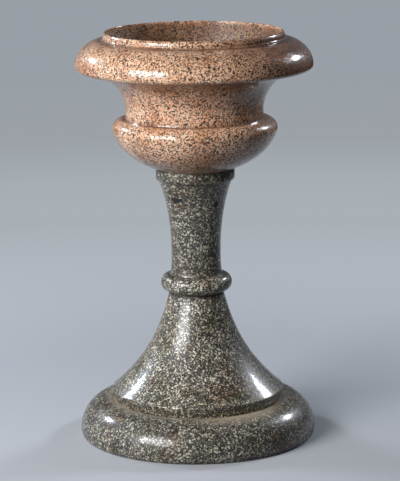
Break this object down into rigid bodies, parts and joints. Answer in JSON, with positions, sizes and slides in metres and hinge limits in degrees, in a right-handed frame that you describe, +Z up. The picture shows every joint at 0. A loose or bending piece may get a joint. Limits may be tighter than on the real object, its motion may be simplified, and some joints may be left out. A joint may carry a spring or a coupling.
{
  "type": "granite pedestal vase",
  "caption": "Turned urn on a waisted stem, a trumpet foot and a round plinth, in two polished granites on one iron tie rod.",
  "frame": {"origin": "on the axis, at the underside of the plinth", "axes": "+Z up along the axis of turning, towards the mouth of the bowl"},
  "size_m": [0.3482, 0.3482, 0.6],
  "materials": {
    "pink_granite": "polished pink granite with dark mica",
    "dark_granite": "polished dark granite with cream grains",
    "lime_mortar": "tan lime mortar, dusty",
    "lead": "dull cast lead",
    "wrought_iron": "black wrought iron, lightly rusted"
  },
  "bodies": {
    "root": {"plinth": "dark_granite", "foot": "dark_granite", "stem": "dark_granite", "bowl": "pink_granite", "foot_bed": "lime_mortar", "stem_bed": "lime_mortar", "bowl_bed": "lime_mortar", "tie_rod": "wrought_iron", "lead_anchor": "lead", "bearing_plate": "wrought_iron", "rod_nut": "wrought_iron"}
  },
  "joints": []
}
